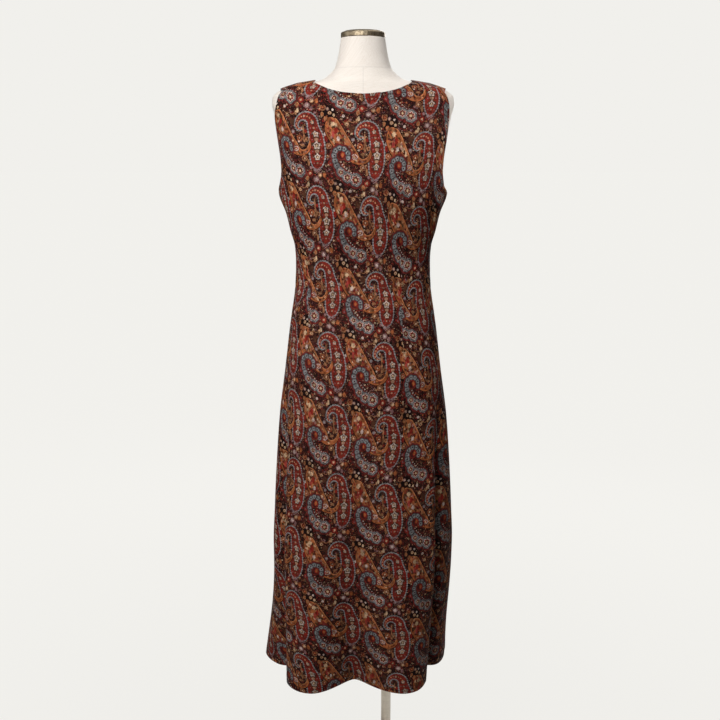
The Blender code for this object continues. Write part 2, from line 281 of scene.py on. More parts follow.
def smooth(xs, ys, x):
    """Values at x on a smooth curve through the points, held level past both ends."""
    xs, ys = np.asarray(xs, float), np.asarray(ys, float)
    x = np.clip(x, xs[0], xs[-1])
    rise = np.diff(ys) / np.diff(xs)
    slopes = np.empty_like(ys)
    slopes[0], slopes[-1] = rise[0], rise[-1]
    product = rise[:-1] * rise[1:]
    total = rise[:-1] + rise[1:]
    slopes[1:-1] = np.where(product > 0, 2 * product / np.where(total == 0, 1, total), 0)
    i = np.clip(np.searchsorted(xs, x, side="right") - 1, 0, len(xs) - 2)
    width = xs[i + 1] - xs[i]
    t = (x - xs[i]) / width
    return (
        ys[i] * (1 + 2 * t) * (1 - t) ** 2
        + slopes[i] * width * t * (1 - t) ** 2
        + ys[i + 1] * t * t * (3 - 2 * t)
        - slopes[i + 1] * width * t * t * (1 - t)
    )


def read(table, at, *numbers):
    """Smooth curves through the table's columns of these numbers, each read against its first column."""
    table = np.array(table)
    return [smooth(table[:, 0], table[:, k], at) for k in numbers]


def bell(x, half):
    return np.exp(-((x / half) ** 2))


def figure_points(angle, height, scale=1.0):
    """Points of the smooth figure. Angle is in degrees: 0 is the centre back, 90 the right side."""
    half_width, back, front, square = read(FIGURE, height, 1, 2, 3, 4)
    across, along = np.sin(np.radians(angle)), np.cos(np.radians(angle))
    depth = np.where(along > 0, back, front)
    fuller = 1 + square * 4 * (across * along) ** 2
    x = half_width * across * fuller * scale
    y = -depth * along * fuller * scale
    bust = bell(abs(abs(x) - BUST_APART), BUST_RADIUS) * bell(height - BUST_HEIGHT, BUST_RADIUS)
    y = y + BUST_DEPTH * bust * np.clip(-2 * along, 0, 1)
    y = y + NECK_LEAN * smooth((SHOULDER_NECK, NECK_TOP), (0, 1), height)
    return np.stack([x, y, height + 0 * x], -1)


def round_the_folds(lines, place):
    """A smooth closed curve through one value per fold line, read at each column's place. lines has a
    value for each fold line, row and column."""
    whole = np.floor(place).astype(int)
    t = place - whole
    columns = np.arange(len(place))
    a, b, c, d = (lines[(whole + k) % len(FOLDS), :, columns].T for k in (-1, 0, 1, 2))
    return b + 0.5 * t * (c - a + t * (2 * a - 5 * b + 4 * c - d + t * (3 * (b - c) + d - a)))


def fold_angles(place, height):
    drift = smooth((HEM, HIP), (1, 0), height)
    lines = np.array(
        [hip + (hem - hip) * drift + 90 - 360 / len(FOLDS) * k for k, (hip, hem, *_) in enumerate(FOLDS)]
    )
    return round_the_folds(lines, place) - 90 + 360 / len(FOLDS) * place


def fold_depths(place, height):
    lines = np.array(
        [smooth(FOLD_HEIGHTS, (hem, lower, upper, 0), height) for _, _, upper, lower, hem in FOLDS]
    )
    return np.where(height >= HIP, 0.0, round_the_folds(lines, place))


def unit(vectors):
    return vectors / np.linalg.norm(vectors, axis=-1, keepdims=True)


def normals_of(points):
    """Outward normals of a grid of points whose rows run round and whose columns run up."""
    return unit(np.cross(np.gradient(points, axis=1), np.gradient(points, axis=0)))


def cloth_points(angle, height, place):
    """Points of the cloth's outer face."""
    base = figure_points(angle, height)
    round_step = figure_points(angle + 0.2, height) - figure_points(angle - 0.2, height)
    up_step = figure_points(angle, height + 0.0004) - figure_points(angle, height - 0.0004)
    outward = unit(np.cross(round_step, up_step))
    from_seam = 90 - abs((angle + 180) % 360 - 180)
    wing = bell(from_seam, UNDERARM_WING_ANGLE) * bell(height - UNDERARM, UNDERARM_WING_HEIGHT)
    ahead = np.maximum(0, -np.cos(np.radians(angle)))
    bridge = BRIDGE_EASE * ahead * bell(height - BRIDGE_HEIGHT, BRIDGE_RADIUS)
    push = (CLOTH_EASE + UNDERARM_WING * wing + bridge)[..., None] * outward
    return base + push + unit(base * (1, 1, 0)) * fold_depths(place, height)[..., None]


def heights_through(marks, steps):
    """Heights from the first mark to the last, with a number of even steps from each mark to the next."""
    runs = [np.linspace(*run, endpoint=False) for run in zip(marks, marks[1:], steps)]
    return np.concatenate([*runs, marks[-1:]])


def panel_grid(front):
    """Points, angle, height and row of one panel's outer face, in rows from the hem up."""
    first = FOLDS_PER_PANEL if front else 0
    middle = 180.0 if front else 0.0
    place = first + FOLDS_PER_PANEL * np.arange(COLUMNS + 1) / COLUMNS
    steps = [max(2, math.ceil((high - low) / ROW_STEP)) for low, high in zip(ROW_MARKS, ROW_MARKS[1:])]
    rows = heights_through(ROW_MARKS, steps)
    row = rows[:, None] + 0 * place[None, :]
    natural = fold_angles(place, row) - middle
    (top,) = read(NECKLINE, abs(natural), 2 if front else 1)
    share = np.maximum(0, row - NECKLINE_START) / (SHOULDER_NECK - NECKLINE_START)
    height = np.where(share == 0, row, NECKLINE_START + share * (top - NECKLINE_START))
    left, right = read(ARMHOLE, row, *((3, 3) if front else (1, 2)))
    full = (row <= UNDERARM) | (row >= SHOULDER_TIP)
    natural = fold_angles(place, height) - middle
    limit = np.where(full, 90.0, np.where(natural < 0, left, right))
    drawn = ARMHOLE_FROM + (abs(natural) - ARMHOLE_FROM) / (90 - ARMHOLE_FROM) * (limit - ARMHOLE_FROM)
    angle = middle + np.where(abs(natural) <= ARMHOLE_FROM, natural, np.copysign(drawn, natural))
    return cloth_points(angle, height, place), angle, height, row, full[:, 0]


def to_dart(points, angle, dart):
    """Moves columns so that one runs down the dart's line, with closer columns beside it. Returns the
    points and angles, that column, and how much of the dart's width is taken in at each row."""
    low, widest, high, x_low, x_widest, x_high, width = dart
    z = points[:, COLUMNS // 2, 2]
    where = smooth((low, widest, high), (x_low, x_widest, x_high), z)
    numbers = np.arange(COLUMNS + 1)
    inner = slice(SEAM_COLUMNS, -SEAM_COLUMNS)
    crossing = []
    for target, across in zip(where, points[:, inner, 0]):
        order = np.argsort(across)
        crossing.append(np.interp(target, across[order], numbers[inner][order]))
    crossing = np.array(crossing)
    in_dart = (z > low) & (z < high)
    at = int(round(crossing[in_dart].mean()))
    hold = smooth((low - DART_EASE_BELOW, low, high, high + DART_EASE_ABOVE), (0, 1, 1, 0), z)
    near = numbers - at
    shift = ((crossing - at) * hold)[:, None] * bell(near, DART_PULL)[None, :]
    pinch = hold[:, None] * (near * DART_CLOSER * bell(near, DART_PINCH))[None, :]
    source = numbers[None, :] + shift - pinch
    moved, turned = points.copy(), angle.copy()
    for r in range(len(points)):
        for k in range(3):
            moved[r, :, k] = np.interp(source[r], numbers, points[r, :, k])
        turned[r] = np.interp(source[r], numbers, angle[r])
    taken = np.where(z < widest, (z - low) / (widest - low), (high - z) / (high - widest))
    return moved, turned, at, width * np.clip(taken, 0, 1)


def distance_to(points, line):
    """Distance of each point from a line through the given points."""
    nearest = np.full(points.shape[:-1], 1.0)
    for start, end in zip(line, line[1:]):
        along = end - start
        share = np.clip((points - start) @ along / max(along @ along, 1e-12), 0, 1)
        nearest = np.minimum(nearest, np.linalg.norm(points - start - share[..., None] * along, axis=-1))
    return nearest


def lengths_along(points, axis):
    """Distance along a grid's rows or columns from its first point."""
    steps = np.linalg.norm(np.diff(points, axis=axis), axis=-1)
    start = np.zeros_like(steps.take([0], axis=axis))
    return np.concatenate([start, np.cumsum(steps, axis=axis)], axis=axis)


def made_panel(side):
    """One panel's outer points with their darts, creases and turned edges, their places on the printed
    cloth, the print's jump over each face's darts, their places beside the nearest row of stitches, and
    the rows that run from seam to seam."""
    front = side == "front"
    points, angle, height, row, full = panel_grid(front)
    darts = []
    for dart in DARTS[side]:
        points, angle, at, taken = to_dart(points, angle, dart)
        darts.append((at, taken))
    round_it = lengths_along(points, 1)
    up_it = lengths_along(points, 0)
    normals = normals_of(points)

    # print: right of its centre column and above the top row's curls, in metres of flat cloth
    middle = slice(COLUMNS // 2 - MIDDLE_COLUMNS, COLUMNS // 2 + MIDDLE_COLUMNS + 1)
    to_right = -1 if front else 1
    centre = [np.interp(0.0, to_right * p[middle, 0], s[middle]) for p, s in zip(points, round_it)]
    from_centre = round_it - np.array(centre)[:, None]
    up = up_it - up_it[np.argmin(abs(row[:, 0] - WAIST))]
    if front:
        u = from_centre * FRONT_CLOSER
        v = up + FRONT_PRINT_UP
    else:
        drift, left, right = read(PRINT_RUN, up, 2, 3, 4)
        beside = from_centre - drift
        u = beside * np.where(beside < 0, left, right)
        v = np.interp(up, *np.array(PRINT_RUN).T[:2])
    jumps = np.zeros((len(points), COLUMNS))
    for at, taken in darts:
        beyond = np.arange(COLUMNS) >= at if at > COLUMNS / 2 else -1.0 * (np.arange(COLUMNS) < at)
        jumps += taken[:, None] * beyond[None, :]

    # relief: darts, creases, side seams and the doubled cloth of the turned edges
    push = np.zeros(points.shape[:2])
    for at, taken in darts:
        aside = round_it - round_it[:, at : at + 1]
        deep = np.clip(taken / DART_FULL_DEPTH, 0, 1)[:, None]
        push -= DART_GROOVE * deep * bell(aside, DART_WIDTH)
        push += DART_SWELL * deep * bell(aside, DART_SWELL_WIDTH)
    for a1, z1, a2, z2, depth, half in CREASES[side]:
        metre = CREASE_RADIUS * math.pi / 180
        across, up_here = (angle - a1) * metre, height - z1
        run_x, run_z = (a2 - a1) * metre, z2 - z1
        length = math.hypot(run_x, run_z)
        share = (across * run_x + up_here * run_z) / length**2
        off = (across * run_z - up_here * run_x) / length
        fade = bell(np.maximum(0, abs(share - 0.5) - CREASE_EVEN), CREASE_FADE)
        push -= depth * bell(off, half) * fade
    push = np.maximum(push, -FORM_CLEARANCE - FREE_BELOW_HIP * np.maximum(0, HIP - height) ** 2)
    from_hem = up_it
    from_neck = up_it[-1:] - up_it
    arms = [distance_to(points, points[~full, end]) for end in (0, -1)]
    edge = np.minimum(from_neck, np.minimum(*arms))
    push += TURNED_RISE * (0.5 - 0.5 * np.tanh((from_hem - HEM_DEPTH) / TURNED_STEP))
    push += TURNED_RISE * (0.5 - 0.5 * np.tanh((edge - EDGE_DEPTH) / TURNED_STEP))
    seam = np.minimum(round_it, round_it[:, -1:] - round_it)
    push -= SIDE_SEAM_DEPTH * bell(seam, SIDE_SEAM_WIDTH) * full[:, None]
    points = points + normals * push[..., None]

    # sewing: distance along the nearest row of stitches, and above or inside it
    above_hem = from_hem - HEM_DEPTH + STITCH_INSET
    inside_edge = edge - EDGE_DEPTH + STITCH_INSET
    at_hem = abs(above_hem) < abs(inside_edge)
    beside_stitches = np.where(at_hem, above_hem, inside_edge)
    along_stitches = np.where(at_hem | (from_neck <= edge), round_it, up_it)
    return points, (u, v), jumps, (along_stitches, beside_stitches), full


def placed(name, data, location=(0, 0, 0), rotation=(0, 0, 0)):
    """A new object in the scene."""
    made = bpy.data.objects.new(name, data)
    made.location = location
    made.rotation_euler = rotation
    bpy.context.scene.collection.objects.link(made)
    return made


def smooth_mesh(name, points, faces, finish):
    mesh = bpy.data.meshes.new(name)
    mesh.from_pydata(points, [], faces)
    mesh.shade_smooth()
    mesh.set_sharp_from_angle(angle=math.radians(SHARP_ANGLE))
    mesh.materials.append(finish)
    return mesh


def add_places(mesh, name, places):
    """Gives each corner of a mesh's faces its place on flat cloth, in metres."""
    mesh.uv_layers.new(name=name).data.foreach_set("uv", places.reshape(-1).astype(np.float32))


def shell(name, outer, seam_rows, shift, print_at, jumps, sewing_at, finish):
    """A closed thin wall whose outer face is the grid. On seam_rows its two ends lie on the plane y=0."""
    normals = normals_of(outer)
    for end in (0, -1):
        outer[seam_rows, end, 1] = 0
        normals[seam_rows, end, 1] = 0
    outer = outer + (0, shift, 0)
    inner = outer - unit(normals) * SHOWN_THICKNESS
    rows, columns = outer.shape[:2]
    points = np.concatenate([outer.reshape(-1, 3), inner.reshape(-1, 3)])
    at = np.arange(rows * columns).reshape(rows, columns)
    quads = np.stack([at[:-1, :-1], at[:-1, 1:], at[1:, 1:], at[1:, :-1]], -1).reshape(-1, 4)
    rim = np.concatenate([at[0, :], at[1:, -1], at[-1, -2::-1], at[-2:0:-1, 0]])
    after = np.roll(rim, -1)
    inside = rows * columns
    edge = np.stack([after, rim, inside + rim, inside + after], -1)
    faces = np.concatenate([quads, inside + quads[:, ::-1], edge])
    mesh = smooth_mesh(name, points.tolist(), faces.tolist(), finish)
    u, v = (values.reshape(-1) for values in print_at)
    jump_low, jump_high = jumps[:-1].reshape(-1), jumps[1:].reshape(-1)
    corner_jumps = np.stack([jump_low, jump_low, jump_high, jump_high], -1)
    outer_uv = np.stack([u[quads] + corner_jumps, v[quads]], -1)
    inner_uv = outer_uv[:, ::-1]
    edge_points = np.stack([after, rim, rim, after], -1)
    edge_uv = np.stack([u[edge_points], v[edge_points]], -1)
    a, b = (values.reshape(-1) for values in sewing_at)
    corners = np.concatenate([quads, quads[:, ::-1], edge_points])
    add_places(mesh, "print", np.concatenate([outer_uv, inner_uv, edge_uv]))
    add_places(mesh, "sewing", np.stack([a[corners], b[corners]], -1))
    within = mesh.attributes.new("inside", "FLOAT", "POINT")
    within.data.foreach_set("value", np.repeat([0.0, 1.0], inside).astype(np.float32))
    return placed(name, mesh)


def ringed(name, rings, finish):
    """A closed solid through rings of points from the bottom up, each ring counter-clockwise. Its cloth
    coordinates run round each ring and up from the lowest one, in metres."""
    rings = np.asarray(rings)
    count, sides = rings.shape[:2]
    at = np.arange(count * sides).reshape(count, sides)
    after = np.roll(at, -1, axis=1)
    faces = np.stack([at[:-1], after[:-1], after[1:], at[1:]], -1).reshape(-1, 4)
    ends = [at[0, ::-1].tolist(), at[-1].tolist()]
    mesh = smooth_mesh(name, rings.reshape(-1, 3).tolist(), faces.tolist() + ends, finish)
    closed = np.concatenate([rings, rings[:, :1]], axis=1)
    across, up = lengths_along(closed, 1), lengths_along(closed, 0)
    low, high = slice(0, -1), slice(1, None)
    corners = ((low, low), (low, high), (high, high), (high, low))
    side_uv = np.stack([np.stack([across[c], up[c]], -1) for c in corners], 2).reshape(-1, 2)
    end_uv = np.concatenate([rings[0, ::-1, :2], rings[-1, :, :2]])
    add_places(mesh, "cloth", np.concatenate([side_uv, end_uv]))
    return placed(name, mesh)


def form_cover(finish):
    """The linen cover of the form, with its sewn seams drawn in."""
    heights = heights_through(COVER_MARKS, COVER_STEPS)
    angles = np.linspace(-180, 180, COVER_SIDES, endpoint=False)
    low = np.maximum(0, HIP - heights) / (HIP - FORM_BOTTOM)
    scale = (1 - FORM_TAPER * low * low)[:, None]
    points = figure_points(angles[None, :], np.maximum(heights, HIP)[:, None], scale)
    points[..., 2] = heights[:, None]
    below_neck = (heights < NECK_SEAM)[:, None]
    seam = bell(heights - NECK_SEAM, SEAM_WIDTH)[:, None] + np.zeros(points.shape[:2])
    for centre, across in ((0.0, 1), (180.0, 1), (-90.0, 0), (90.0, 0)):
        turned = np.radians(abs((angles - centre + 180) % 360 - 180))
        away = turned[None, :] * abs(points[..., across])
        seam += bell(away, SEAM_WIDTH) * below_neck
    points -= unit(points * (1, 1, 0)) * (SEAM_DEPTH * np.minimum(seam, 1))[..., None]
    rounded = points[0] * (COVER_TURN, COVER_TURN, 1) - (0, 0, COVER_TURN_DOWN)
    under = points[0] * (FORM_EDGE, FORM_EDGE, 0) + (0, 0, FORM_BOTTOM)
    top = (points[-1] - (0, NECK_LEAN, 0)) * (COVER_TOP, COVER_TOP, 1) + (0, NECK_LEAN, COVER_TOP_UP)
    return ringed("form_linen_cover", np.concatenate([[under, rounded], points, [top]]), finish)


# ---------------- node arithmetic
def put(tree, socket, value):
    """Sets an input to a constant, or links a number or a colour to it."""
    if isinstance(value, Number):
        tree.links.new(value.socket, socket)
    elif isinstance(value, bpy.types.NodeSocket):
        tree.links.new(value, socket)
    else:
        socket.default_value = value


def added(tree, kind, inputs, **settings):
    """A new shader node of a kind, with its settings and its inputs, by name or number."""
    node = tree.nodes.new("ShaderNode" + kind)
    for name, value in settings.items():
        setattr(node, name, value)
    for name, value in inputs.items():
        put(tree, node.inputs[name], value)
    return node


class Number:
    """A number in a material's nodes. Arithmetic with it adds nodes to its tree."""

    def __init__(self, tree, socket):
        self.tree, self.socket = tree, socket

    def math(self, operation, *others):
        inputs = dict(enumerate((self, *others)))
        return Number(self.tree, added(self.tree, "Math", inputs, operation=operation).outputs[0])

    def __rsub__(self, other):
        return self.math("MULTIPLY_ADD", -1.0, other)

    def __abs__(self):
        return self.math("ABSOLUTE")


OPERATORS = {
    "add": "ADD", "radd": "ADD", "sub": "SUBTRACT", "mul": "MULTIPLY", "rmul": "MULTIPLY",
    "lt": "LESS_THAN", "gt": "GREATER_THAN", "and": "MINIMUM", "or": "MAXIMUM",
}
for sign, operation in OPERATORS.items():
    setattr(Number, f"__{sign}__", lambda self, other, operation=operation: self.math(operation, other))


def hypot(x, y):
    return (x * x).math("MULTIPLY_ADD", 1.0, y * y).math("SQRT")


def angle_of(x, y):
    return y.math("ARCTAN2", x)


def polar(x, y):
    """Distance from the origin, and the angle round it from the x axis."""
    return hypot(x, y), angle_of(x, y)


def wrapped(value, period):
    """The value within half a period of 0."""
    return value.math("WRAP", period / 2, -period / 2)


def mapped(value, low, high, to_low=0.0, to_high=1.0, kind="LINEAR"):
    ends = {"From Min": low, "From Max": high, "To Min": to_low, "To Max": to_high}
    node = added(value.tree, "MapRange", {"Value": value, **ends}, interpolation_type=kind)
    return Number(value.tree, node.outputs["Result"])


def mix(share, first, second):
    """Colour: first where share is 0, second where it is 1."""
    first, second = ((*hue, 1) if isinstance(hue, tuple) else hue for hue in (first, second))
    return added(share.tree, "Mix", {0: share, 6: first, 7: second}, data_type="RGBA").outputs[2]


def either(share, first, second):
    """Number: first where share is 0, second where it is 1."""
    node = added(share.tree, "Mix", {0: share, 2: first, 3: second}, data_type="FLOAT")
    return Number(share.tree, node.outputs[0])


def curved(value, points, reach):
    """A smooth function through (where, height) points, where runs from 0 to reach."""
    node = added(value.tree, "FloatCurve", {"Value": value * (1 / reach)})
    most = max(height for _, height in points)
    curve = node.mapping.curves[0]
    wanted = [(where / reach, height / most) for where, height in points]
    curve.points[0].location, curve.points[1].location = wanted[0], wanted[-1]
    for spot in wanted[1:-1]:
        curve.points.new(*spot)
    node.mapping.update()
    return Number(value.tree, node.outputs[0]) * most


def noise(tree, vector, scale, detail=2.0, roughness=0.5):
    values = {"Vector": vector, "Scale": scale, "Detail": detail, "Roughness": roughness}
    return Number(tree, added(tree, "TexNoise", values).outputs[0])


def cells(tree, vector):
    """The nearest cell, of about one to a unit: its distance, its random colour and its middle."""
    node = added(tree, "TexVoronoi", {"Vector": vector, "Scale": 1.0}, voronoi_dimensions="2D")
    return Number(tree, node.outputs["Distance"]), node.outputs["Color"], node.outputs["Position"]


def ramp(value, stops, kind="CONSTANT"):
    """Colour by value: stops are (from, colour)."""
    node = added(value.tree, "ValToRGB", {"Fac": value})
    node.color_ramp.interpolation = kind
    elements = node.color_ramp.elements
    elements.remove(elements[-1])
    elements[0].position = stops[0][0]
    elements[0].color = (*stops[0][1], 1)
    for where, colour in stops[1:]:
        elements.new(where).color = (*colour, 1)
    return node.outputs["Color"]


def scaled_colour(colour, share):
    """The colour times a number."""
    return added(share.tree, "VectorMath", {0: colour, "Scale": share}, operation="SCALE").outputs[0]


def joined(x, y, z=0.0):
    return added(x.tree, "CombineXYZ", {0: x, 1: y, 2: z}).outputs[0]


def parts(tree, vector):
    """The three numbers of a place or of a colour."""
    return [Number(tree, output) for output in added(tree, "SeparateXYZ", {0: vector}).outputs]


# ---------------- the paisley print
COLUMN_STEP, COLUMN_DROP, ROW_REPEAT = 126.0, 21.0, 152.0  # millimetres of flat cloth
LEAN = 0.052  # how far each motif leans to the left

GROUND = (0.021, 0.0056, 0.0044)
DARK = (0.009, 0.0029, 0.0026)
RED = (0.245, 0.02, 0.013)
DEEP_RED = (0.105, 0.013, 0.011)
ORANGE = (0.36, 0.105, 0.036)
TAN = (0.31, 0.135, 0.062)
CREAM = (0.56, 0.38, 0.23)
WHITE = (0.52, 0.405, 0.355)
BLUE = (0.106, 0.107, 0.11)
PALE_BLUE = (0.258, 0.25, 0.25)
LILAC = (0.24, 0.12, 0.12)
OLIVE = (0.078, 0.033, 0.017)
BROWN = (0.082, 0.022, 0.014)
DUSK = (0.11, 0.048, 0.036)
UMBER = (0.05, 0.012, 0.01)
RUST = (0.085, 0.022, 0.014)
MOSS = (0.065, 0.04, 0.02)
SAND = (0.36, 0.2, 0.13)
APRICOT = (0.52, 0.22, 0.11)
AMBER = (0.5, 0.2, 0.085)
MAROON = (0.15, 0.02, 0.018)
WINE = (0.17, 0.022, 0.018)
DARK_WINE = (0.06, 0.012, 0.01)
INK = (0.024, 0.014, 0.018)
SLATE = (0.032, 0.022, 0.03)

CURLS_FROM = 0.35  # share of the small ground motifs that are flowers, the rest being curls
FILLERS = (
    # step, seed, size, and the hues that take turns
    (
        5.6, 3.1, 0.43,
        (
            (0, DARK), (0.18, DEEP_RED), (0.33, DARK), (0.41, DUSK), (0.48, TAN), (0.56, DARK),
            (0.61, RED), (0.78, CREAM), (0.86, LILAC), (0.95, ORANGE),
        ),
    ),
    (
        3.3, 17.7, 0.35,
        ((0, DARK), (0.33, DEEP_RED), (0.55, TAN), (0.61, DARK), (0.78, CREAM), (0.86, RED)),
    ),
)
LEAF_PATCHES = (
    (0, ORANGE), (0.2, (0.28, 0.085, 0.035)), (0.33, (0.36, 0.15, 0.07)),
    (0.41, (0.075, 0.016, 0.011)), (0.56, (0.07, 0.036, 0.015)), (0.67, (0.22, 0.03, 0.02)),
    (0.77, TAN), (0.88, CREAM), (0.95, (0.3, 0.14, 0.12)),
)

# Outlines: place along a motif's middle line, and its half width there
DROP_OUTLINE = (
    (0, 0), (4, 7.6), (12, 13), (25, 17), (37, 17.8), (53, 17), (68, 15.4), (82, 13.4),
    (94, 11.6), (108, 10.2), (122, 8.2), (134, 5.8), (148, 4), (160, 3.1), (168, 0),
)
DROP_FLOWERS = (
    (0, 0), (12, 3.4), (26, 7.0), (50, 8.6), (74, 6.4), (92, 4.4), (118, 2.8), (150, 1.8), (170, 0)
)
LEAF_INNER = ((0, 0), (6, 7), (16, 12), (60, 12), (90, 12), (108, 7), (122, 3.2), (140, 2.0), (148, 0))
LEAF_OUTER = (
    (0, 0), (6, 10), (16, 18), (30, 22.5), (55, 22.5), (80, 16), (96, 9.5), (112, 6), (130, 4.5),
    (148, 0),
)
RIBBON_OUTLINE = (
    (0, 2), (4, 3.8), (12, 4.4), (40, 4.4), (57, 4.7), (74, 5.6), (90, 6.6), (116, 7), (130, 5),
    (138, 0),
)
PEARL_STEP = 5.6  # from pearl to pearl, flower to flower and lobe to lobe along those lines
FLOWER_STEP = 24.0
LOBE_STEP = 10.4
HEAD_BLOSSOMS = ((-55.5, -101.5, 8.5, 5), (-41.5, -112, 11, 6), (-23.5, -117, 13, 7))
BLOSSOM = ((0.92, PALE_BLUE), (0.8, DARK), (0.7, WHITE), (0.55, RED), (0.4, OLIVE), (0.22, CREAM))
LEAF_SPOTS = (
    # place in its repeat, size across and up, colour
    (-66, -4, 5, 5.5, CREAM),
    (-60, -17, 4.5, 8, RED),
    (-56, -34, 4, 5, WHITE),
    (-66, -24, 3.2, 8, (0.36, 0.05, 0.04)),
)

# Small ornaments round the leaf and the curl, and round the blue paisley's head: place right of and above
# the top of the red curl, size across and up, and colours from the outside in, each with its share of
# the size
LEAF_ORNAMENTS = (
    # x, y, across, up, ((share, colour), ...)
    (-75, 20, 16, 17, ((1, DARK),)),
    (-87, 31, 6.2, 7, ((1, TAN), (0.66, DEEP_RED), (0.32, ORANGE))),
    (-77, 28, 3.6, 3.6, ((1, LILAC), (0.5, CREAM))),
    (-66.5, 26, 2.4, 2.4, ((1, WHITE),)),
    (-72.5, 19.5, 4, 4, ((1, TAN), (0.66, CREAM), (0.3, DEEP_RED))),
    (-64, 15, 2.6, 3.4, ((1, CREAM),)),
    (-88, 17, 3.2, 5, ((1, TAN), (0.5, ORANGE))),
    (-80.5, 8, 4.2, 5.4, ((1, ORANGE), (0.7, TAN))),
    (-38, -4, 6, 4.6, ((1, BROWN), (0.82, TAN), (0.5, CREAM), (0.25, OLIVE))),
    (-28, -14, 6, 7, ((1, OLIVE), (0.75, BROWN), (0.45, OLIVE))),
    (-18, 3, 2.6, 4.4, ((1, TAN), (0.6, CREAM))),
    (-26, -36, 4, 4, ((1, LILAC), (0.6, PALE_BLUE))),
    (3.3, -37.5, 3.2, 3.6, ((1, RED),)),
    (-1.5, -34, 1.6, 11, ((1, TAN),)),
    (-11.5, -50.5, 6, 6.4, ((1, ORANGE), (0.66, DEEP_RED), (0.3, CREAM))),
    (-1, -52, 2.6, 9.5, ((1, TAN), (0.5, OLIVE))),
    (6, -54, 3.6, 4.6, ((1, TAN), (0.5, BROWN))),
    (-6, -66, 4.8, 3, ((1, TAN),)),
    (-14, -57.5, 2, 2, ((1, WHITE),)),
    (-76.5, -48.5, 6.4, 6, ((1, TAN), (0.6, RED), (0.3, CREAM))),
    (-80, -15, 2, 4, ((1, CREAM),)),
    (-82.5, -24.5, 2.4, 4, ((1, WHITE),)),
    (-81, -33, 4, 6.4, ((1, RED),)),
)
HEAD_ORNAMENTS = (
    (-76, -83, 5, 5, ((1, RED), (0.45, LILAC))),
    (-6.5, -92.5, 6.4, 6, ((1, TAN), (0.66, DEEP_RED), (0.36, CREAM))),
    (1.5, -102, 2.6, 7, ((1, TAN),)),
    (5.5, -112, 3.2, 3.2, ((1, LILAC),)),
    (1.3, -124, 7, 7, ((1, DEEP_RED), (0.8, RED), (0.36, CREAM))),
    (15, -117.5, 4.2, 4.2, ((1, LILAC), (0.5, PALE_BLUE))),
    (14.5, -136.5, 7, 6.4, ((1, BROWN), (0.9, LILAC), (0.5, WHITE))),
    (24, -143, 3.2, 5, ((1, LILAC),)),
    (24.5, -127.5, 4.8, 4.8, ((1, TAN), (0.6, CREAM))),
    (-92.5, -107, 4.6, 6.4, ((1, BROWN), (0.8, ORANGE))),
    (-36.5, -139.5, 3, 3, ((1, WHITE),)),
    (-6, -145.5, 2.6, 5, ((1, CREAM),)),
    (-22, -147, 2.2, 2.2, ((1, LILAC),)),
    (-7, -133, 4, 5, ((1, TAN), (0.5, ORANGE))),
)


